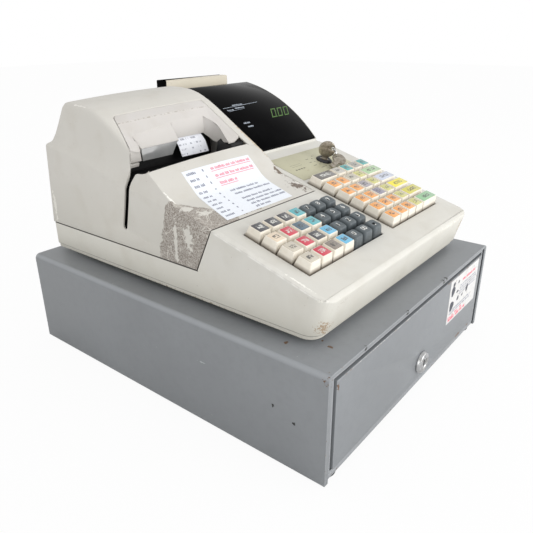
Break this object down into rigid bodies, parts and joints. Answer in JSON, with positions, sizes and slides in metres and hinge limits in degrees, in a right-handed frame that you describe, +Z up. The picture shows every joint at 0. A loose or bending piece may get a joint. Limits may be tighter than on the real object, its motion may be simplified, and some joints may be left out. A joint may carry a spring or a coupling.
{
  "type": "cash register",
  "caption": "Electronic register with sloping keyboard, curved display, printer cover and rear display on a sheet-steel cash drawer.",
  "frame": {"origin": "on the surface the feet stand on, under the middle of the drawer housing", "axes": "+X to the right as the operator sees it, +Y towards the back, +Z up; the drawer opens towards -Y"},
  "size_m": [0.365, 0.43, 0.3015],
  "materials": {
    "drawer_paint": "satin grey paint over steel, worn at the edges",
    "chassis_paint": "satin grey paint",
    "zinc_steel": "zinc plated",
    "roller_nylon": "moulded nylon",
    "foot_rubber": "matt black",
    "chrome_lock": "polished plating",
    "till_plastic": "fine grain",
    "black_plastic": "fine grain",
    "iron_coil": "varnished",
    "case_plastic": "fine spark-erosion grain, slightly yellowed",
    "panel_plastic": "smooth, yellowed",
    "rear_plastic": "fine grain, yellowed",
    "display_black": "polished",
    "window_grey": "smoked, slightly cloudy",
    "circuit_board": "solder mask",
    "key_steel": "nickel plated, dull",
    "roll_paper": "uncoated",
    "key_dark": "satin",
    "key_cream": "satin cap under a clear lens"
  },
  "bodies": {
    "register": {"drawer_shell": "drawer_paint", "drawer_chassis": "chassis_paint", "runner_rails": "zinc_steel", "drawer_feet": "foot_rubber", "solenoid": "iron_coil", "bottom_case": "case_plastic", "top_case": "case_plastic", "display_filter": "display_black", "display_board": "circuit_board", "keyboard_base": "black_plastic", "mode_panel": "panel_plastic", "mode_lock": "black_plastic", "receipt_paper": "roll_paper", "printer_unit": "black_plastic", "main_board": "circuit_board", "transformer": "iron_coil", "cord_gland": "black_plastic", "case_screws": "zinc_steel"},
    "drawer": {"drawer_tray": "chassis_paint", "drawer_front": "drawer_paint", "lock_body": "chrome_lock", "till_insert": "till_plastic"},
    "tray_rollers": {"tray_rollers": "roller_nylon"},
    "frame_rollers": {"frame_rollers": "roller_nylon"},
    "lock_cylinder": {"lock_cylinder": "chrome_lock"},
    "note_clips": {"note_clips": "till_plastic"},
    "release_latch": {"release_latch": "zinc_steel"},
    "printer_cover": {"printer_cover": "case_plastic", "cutter_cover": "case_plastic", "journal_window": "window_grey"},
    "mode_key": {"mode_key": "key_steel"},
    "loose_key": {"key_ring": "chrome_lock", "spare_key": "key_steel"},
    "receipt_roll": {"receipt_roll": "roll_paper"},
    "journal_roll": {"journal_roll": "roll_paper"},
    "take_up_spool": {"take_up_spool": "till_plastic"},
    "customer_display": {"customer_display": "rear_plastic", "customer_window": "display_black"},
    "key_7": {"key_7": "key_dark"},
    "key_8": {"key_8": "key_dark"},
    "key_9": {"key_9": "key_dark"},
    "key_4": {"key_4": "key_dark"},
    "key_5": {"key_5": "key_dark"},
    "key_6": {"key_6": "key_dark"},
    "key_1": {"key_1": "key_dark"},
    "key_2": {"key_2": "key_dark"},
    "key_3": {"key_3": "key_dark"},
    "key_0": {"key_0": "key_dark"},
    "key_00": {"key_00": "key_dark"},
    "key_point": {"key_point": "key_dark"},
    "left_keys_row_1": {"left_keys_row_1": "key_cream"},
    "left_keys_row_2": {"left_keys_row_2": "key_cream"},
    "left_keys_row_3": {"left_keys_row_3": "key_cream"},
    "left_keys_row_4": {"left_keys_row_4": "key_cream"},
    "right_keys_row_1": {"right_keys_row_1": "key_cream"},
    "right_keys_row_2": {"right_keys_row_2": "key_cream"},
    "right_keys_row_3": {"right_keys_row_3": "key_cream"},
    "right_keys_row_4": {"right_keys_row_4": "key_cream"},
    "right_keys_row_5": {"right_keys_row_5": "key_cream"},
    "right_keys_row_6": {"right_keys_row_6": "key_cream"}
  },
  "joints": [
    {"name": "drawer_slide", "type": "slide", "parent": "register", "child": "drawer", "axis": [0, -1, 0], "range_m": [0, 0.27]},
    {"name": "tray_roller_turn", "type": "hinge", "parent": "drawer", "child": "tray_rollers", "pos_m": [0, 0.155, 0.03675], "axis": [1, 0, 0], "range_deg": [0, 2300]},
    {"name": "frame_roller_turn", "type": "hinge", "parent": "register", "child": "frame_rollers", "pos_m": [0, -0.183, 0.04375], "axis": [1, 0, 0], "range_deg": [0, 2650]},
    {"name": "lock_turn", "type": "hinge", "parent": "drawer", "child": "lock_cylinder", "pos_m": [0.005, -0.21, 0.033], "axis": [0, 1, 0], "range_deg": [0, 90]},
    {"name": "note_clip_lift", "type": "hinge", "parent": "drawer", "child": "note_clips", "pos_m": [0, 0.1525, 0.0545], "axis": [-1, 0, 0], "range_deg": [0, 45], "stiffness_Nm_per_rad": 0.02, "springref_deg": -17.19},
    {"name": "latch_close", "type": "hinge", "parent": "register", "child": "release_latch", "pos_m": [0.008, 0.19, 0.02], "axis": [0, 0, -1], "range_deg": [0, 18]},
    {"name": "cover_lift_off", "type": "slide", "parent": "register", "child": "printer_cover", "axis": [0, 0, 1], "range_m": [0, 0.12]},
    {"name": "mode_key_turn", "type": "hinge", "parent": "register", "child": "mode_key", "pos_m": [0.0985, -0.01862, 0.20872], "axis": [0, -0.274, 0.9617], "range_deg": [-60, 60]},
    {"name": "key_ring_turn", "type": "hinge", "parent": "mode_key", "child": "loose_key", "pos_m": [0.10451, -0.02939, 0.21901], "axis": [-0.8608, 0.4037, -0.3101], "range_deg": [0, 25]},
    {"name": "receipt_roll_turn", "type": "hinge", "parent": "register", "child": "receipt_roll", "pos_m": [-0.0435, 0.143, 0.198], "axis": [1, 0, 0], "continuous": true},
    {"name": "journal_roll_turn", "type": "hinge", "parent": "register", "child": "journal_roll", "pos_m": [-0.1095, 0.143, 0.198], "axis": [1, 0, 0], "continuous": true},
    {"name": "take_up_turn", "type": "hinge", "parent": "register", "child": "take_up_spool", "pos_m": [-0.1095, 0.076, 0.206], "axis": [1, 0, 0], "continuous": true},
    {"name": "customer_display_raise", "type": "slide", "parent": "register", "child": "customer_display", "axis": [0, 0, 1], "range_m": [0, 0.045]},
    {"name": "key_7_press", "type": "slide", "parent": "register", "child": "key_7", "axis": [0, 0.274, -0.9617], "range_m": [0, 0.0035], "stiffness_N_per_m": 150, "springref_m": -0.002},
    {"name": "key_8_press", "type": "slide", "parent": "register", "child": "key_8", "axis": [0, 0.274, -0.9617], "range_m": [0, 0.0035], "stiffness_N_per_m": 150, "springref_m": -0.002},
    {"name": "key_9_press", "type": "slide", "parent": "register", "child": "key_9", "axis": [0, 0.274, -0.9617], "range_m": [0, 0.0035], "stiffness_N_per_m": 150, "springref_m": -0.002},
    {"name": "key_4_press", "type": "slide", "parent": "register", "child": "key_4", "axis": [0, 0.274, -0.9617], "range_m": [0, 0.0035], "stiffness_N_per_m": 150, "springref_m": -0.002},
    {"name": "key_5_press", "type": "slide", "parent": "register", "child": "key_5", "axis": [0, 0.274, -0.9617], "range_m": [0, 0.0035], "stiffness_N_per_m": 150, "springref_m": -0.002},
    {"name": "key_6_press", "type": "slide", "parent": "register", "child": "key_6", "axis": [0, 0.274, -0.9617], "range_m": [0, 0.0035], "stiffness_N_per_m": 150, "springref_m": -0.002},
    {"name": "key_1_press", "type": "slide", "parent": "register", "child": "key_1", "axis": [0, 0.274, -0.9617], "range_m": [0, 0.0035], "stiffness_N_per_m": 150, "springref_m": -0.002},
    {"name": "key_2_press", "type": "slide", "parent": "register", "child": "key_2", "axis": [0, 0.274, -0.9617], "range_m": [0, 0.0035], "stiffness_N_per_m": 150, "springref_m": -0.002},
    {"name": "key_3_press", "type": "slide", "parent": "register", "child": "key_3", "axis": [0, 0.274, -0.9617], "range_m": [0, 0.0035], "stiffness_N_per_m": 150, "springref_m": -0.002},
    {"name": "key_0_press", "type": "slide", "parent": "register", "child": "key_0", "axis": [0, 0.274, -0.9617], "range_m": [0, 0.0035], "stiffness_N_per_m": 150, "springref_m": -0.002},
    {"name": "key_00_press", "type": "slide", "parent": "register", "child": "key_00", "axis": [0, 0.274, -0.9617], "range_m": [0, 0.0035], "stiffness_N_per_m": 150, "springref_m": -0.002},
    {"name": "key_point_press", "type": "slide", "parent": "register", "child": "key_point", "axis": [0, 0.274, -0.9617], "range_m": [0, 0.0035], "stiffness_N_per_m": 150, "springref_m": -0.002},
    {"name": "left_keys_row_1_press", "type": "slide", "parent": "register", "child": "left_keys_row_1", "axis": [0, 0.274, -0.9617], "range_m": [0, 0.0035], "stiffness_N_per_m": 150, "springref_m": -0.002},
    {"name": "left_keys_row_2_press", "type": "slide", "parent": "register", "child": "left_keys_row_2", "axis": [0, 0.274, -0.9617], "range_m": [0, 0.0035], "stiffness_N_per_m": 150, "springref_m": -0.002},
    {"name": "left_keys_row_3_press", "type": "slide", "parent": "register", "child": "left_keys_row_3", "axis": [0, 0.274, -0.9617], "range_m": [0, 0.0035], "stiffness_N_per_m": 150, "springref_m": -0.002},
    {"name": "left_keys_row_4_press", "type": "slide", "parent": "register", "child": "left_keys_row_4", "axis": [0, 0.274, -0.9617], "range_m": [0, 0.0035], "stiffness_N_per_m": 150, "springref_m": -0.002},
    {"name": "right_keys_row_1_press", "type": "slide", "parent": "register", "child": "right_keys_row_1", "axis": [0, 0.274, -0.9617], "range_m": [0, 0.0035], "stiffness_N_per_m": 150, "springref_m": -0.002},
    {"name": "right_keys_row_2_press", "type": "slide", "parent": "register", "child": "right_keys_row_2", "axis": [0, 0.274, -0.9617], "range_m": [0, 0.0035], "stiffness_N_per_m": 150, "springref_m": -0.002},
    {"name": "right_keys_row_3_press", "type": "slide", "parent": "register", "child": "right_keys_row_3", "axis": [0, 0.274, -0.9617], "range_m": [0, 0.0035], "stiffness_N_per_m": 150, "springref_m": -0.002},
    {"name": "right_keys_row_4_press", "type": "slide", "parent": "register", "child": "right_keys_row_4", "axis": [0, 0.274, -0.9617], "range_m": [0, 0.0035], "stiffness_N_per_m": 150, "springref_m": -0.002},
    {"name": "right_keys_row_5_press", "type": "slide", "parent": "register", "child": "right_keys_row_5", "axis": [0, 0.274, -0.9617], "range_m": [0, 0.0035], "stiffness_N_per_m": 150, "springref_m": -0.002},
    {"name": "right_keys_row_6_press", "type": "slide", "parent": "register", "child": "right_keys_row_6", "axis": [0, 0.274, -0.9617], "range_m": [0, 0.0035], "stiffness_N_per_m": 150, "springref_m": -0.002}
  ],
  "couplings": [
    {"joint": "tray_roller_turn", "follows": "drawer_slide", "rad_per_m": 142.86},
    {"joint": "frame_roller_turn", "follows": "drawer_slide", "rad_per_m": 166.67}
  ]
}
